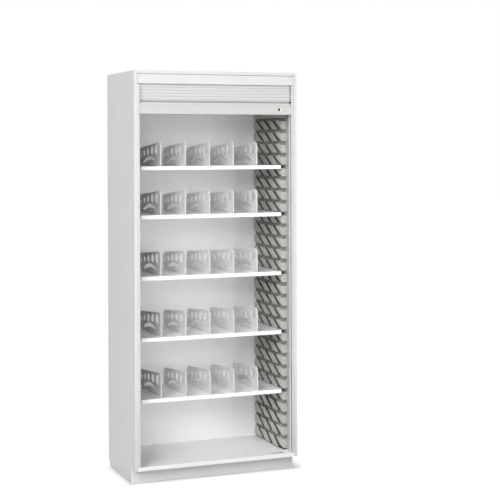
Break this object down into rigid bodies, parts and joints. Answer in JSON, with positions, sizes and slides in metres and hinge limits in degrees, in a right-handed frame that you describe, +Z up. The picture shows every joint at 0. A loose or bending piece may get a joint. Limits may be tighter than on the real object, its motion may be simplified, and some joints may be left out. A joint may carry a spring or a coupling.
{
  "type": "storage cabinet",
  "caption": "Tall white cabinet with a roller shutter that lifts into the head, moulded grooved side walls, sliding shelves with upright plug-in dividers, and a cam lock in the bottom bar.",
  "frame": {"origin": "on the floor, under the middle of the cabinet's outer box", "axes": "+Z up, the shutter side faces -Y, +X to the right as seen from the front"},
  "size_m": [0.9, 0.506, 2.12],
  "materials": {
    "white_laminate": "matt melamine on chipboard",
    "white_fascia": "matt melamine on chipboard",
    "guide_channel": "satin extruded",
    "moulded_liner": "matt moulded",
    "white_strike": "satin moulded",
    "shutter_bar": "satin extruded",
    "shutter_slats": "satin extruded",
    "nickel_lock": "satin nickel",
    "steel_cam": "zinc plated",
    "shaft_alloy": "plain",
    "bracket_steel": "zinc plated",
    "white_shelf": "satin moulded",
    "divider_plastic": "satin moulded"
  },
  "bodies": {
    "cabinet": {"side_panel_left": "white_laminate", "side_panel_right": "white_laminate", "top_panel": "white_laminate", "floor_panel": "white_laminate", "back_panel": "white_laminate", "kick_board": "white_laminate", "fascia": "white_fascia", "guide_left": "guide_channel", "guide_right": "guide_channel", "wall_liner_left": "moulded_liner", "wall_liner_right": "moulded_liner", "strike_plate": "white_strike", "head_cover": "white_laminate", "shaft_bracket_left": "bracket_steel", "shaft_bracket_right": "bracket_steel"},
    "shutter": {"bottom_bar": "shutter_bar", "shutter_leaf_01": "shutter_slats", "lock_cylinder": "nickel_lock"},
    "leaf_02": {"shutter_leaf_02": "shutter_slats"},
    "leaf_03": {"shutter_leaf_03": "shutter_slats"},
    "leaf_04": {"shutter_leaf_04": "shutter_slats"},
    "leaf_05": {"shutter_leaf_05": "shutter_slats"},
    "leaf_06": {"shutter_leaf_06": "shutter_slats"},
    "leaf_07": {"shutter_leaf_07": "shutter_slats"},
    "leaf_08": {"shutter_leaf_08": "shutter_slats"},
    "leaf_09": {"shutter_leaf_09": "shutter_slats"},
    "leaf_10": {"shutter_leaf_10": "shutter_slats"},
    "lock": {"lock_plug": "nickel_lock", "lock_cam": "steel_cam"},
    "spring_shaft": {"winding_shaft": "shaft_alloy"},
    "shelf_set_1": {"shelf_1": "white_shelf", "divider_1_1": "divider_plastic", "divider_1_2": "divider_plastic", "divider_1_3": "divider_plastic", "divider_1_4": "divider_plastic", "divider_1_5": "divider_plastic"},
    "shelf_set_2": {"shelf_2": "white_shelf", "divider_2_1": "divider_plastic", "divider_2_2": "divider_plastic", "divider_2_3": "divider_plastic", "divider_2_4": "divider_plastic", "divider_2_5": "divider_plastic"},
    "shelf_set_3": {"shelf_3": "white_shelf", "divider_3_1": "divider_plastic", "divider_3_2": "divider_plastic", "divider_3_3": "divider_plastic", "divider_3_4": "divider_plastic", "divider_3_5": "divider_plastic"},
    "shelf_set_4": {"shelf_4": "white_shelf", "divider_4_1": "divider_plastic", "divider_4_2": "divider_plastic", "divider_4_3": "divider_plastic", "divider_4_4": "divider_plastic", "divider_4_5": "divider_plastic"},
    "shelf_set_5": {"shelf_5": "white_shelf", "divider_5_1": "divider_plastic", "divider_5_2": "divider_plastic", "divider_5_3": "divider_plastic", "divider_5_4": "divider_plastic", "divider_5_5": "divider_plastic"}
  },
  "joints": [
    {"name": "shutter_slide", "type": "slide", "parent": "cabinet", "child": "shutter", "axis": [0, 0, -1], "range_m": [0, 1.8018]},
    {"name": "leaf_02_slide", "type": "slide", "parent": "cabinet", "child": "leaf_02", "axis": [0, 0, -1], "range_m": [0, 1.611]},
    {"name": "leaf_03_slide", "type": "slide", "parent": "cabinet", "child": "leaf_03", "axis": [0, 0, -1], "range_m": [0, 1.413]},
    {"name": "leaf_04_slide", "type": "slide", "parent": "cabinet", "child": "leaf_04", "axis": [0, 0, -1], "range_m": [0, 1.215]},
    {"name": "leaf_05_slide", "type": "slide", "parent": "cabinet", "child": "leaf_05", "axis": [0, 0, -1], "range_m": [0, 1.017]},
    {"name": "leaf_06_slide", "type": "slide", "parent": "cabinet", "child": "leaf_06", "axis": [0, 0, -1], "range_m": [0, 0.819]},
    {"name": "leaf_07_slide", "type": "slide", "parent": "cabinet", "child": "leaf_07", "axis": [0, 0, -1], "range_m": [0, 0.621]},
    {"name": "leaf_08_slide", "type": "slide", "parent": "cabinet", "child": "leaf_08", "axis": [0, 0, -1], "range_m": [0, 0.423]},
    {"name": "leaf_09_slide", "type": "slide", "parent": "cabinet", "child": "leaf_09", "axis": [0, 0, -1], "range_m": [0, 0.225]},
    {"name": "leaf_10_slide", "type": "slide", "parent": "cabinet", "child": "leaf_10", "axis": [0, 0, -1], "range_m": [0, 0.027]},
    {"name": "shaft_turn", "type": "hinge", "parent": "cabinet", "child": "spring_shaft", "pos_m": [0, -0.033, 2.006], "axis": [1, 0, 0], "range_deg": [0, 1878]},
    {"name": "lock_turn", "type": "hinge", "parent": "shutter", "child": "lock", "pos_m": [0.353, -0.2105, 1.9249], "axis": [0, 1, 0], "range_deg": [0, 90]},
    {"name": "shelf_1_slide", "type": "slide", "parent": "cabinet", "child": "shelf_set_1", "axis": [0, 1, 0], "range_m": [-0.2, 0]},
    {"name": "shelf_2_slide", "type": "slide", "parent": "cabinet", "child": "shelf_set_2", "axis": [0, 1, 0], "range_m": [-0.2, 0]},
    {"name": "shelf_3_slide", "type": "slide", "parent": "cabinet", "child": "shelf_set_3", "axis": [0, 1, 0], "range_m": [-0.2, 0]},
    {"name": "shelf_4_slide", "type": "slide", "parent": "cabinet", "child": "shelf_set_4", "axis": [0, 1, 0], "range_m": [-0.2, 0]},
    {"name": "shelf_5_slide", "type": "slide", "parent": "cabinet", "child": "shelf_set_5", "axis": [0, 1, 0], "range_m": [-0.2, 0]}
  ],
  "couplings": [
    {"joint": "leaf_02_slide", "follows": "shutter_slide", "ratio": 0.89399},
    {"joint": "leaf_03_slide", "follows": "shutter_slide", "ratio": 0.78411},
    {"joint": "leaf_04_slide", "follows": "shutter_slide", "ratio": 0.67422},
    {"joint": "leaf_05_slide", "follows": "shutter_slide", "ratio": 0.56432},
    {"joint": "leaf_06_slide", "follows": "shutter_slide", "ratio": 0.45443},
    {"joint": "leaf_07_slide", "follows": "shutter_slide", "ratio": 0.34454},
    {"joint": "leaf_08_slide", "follows": "shutter_slide", "ratio": 0.23465},
    {"joint": "leaf_09_slide", "follows": "shutter_slide", "ratio": 0.12476},
    {"joint": "leaf_10_slide", "follows": "shutter_slide", "ratio": 0.014874},
    {"joint": "shaft_turn", "follows": "shutter_slide", "rad_per_m": 18.182}
  ]
}
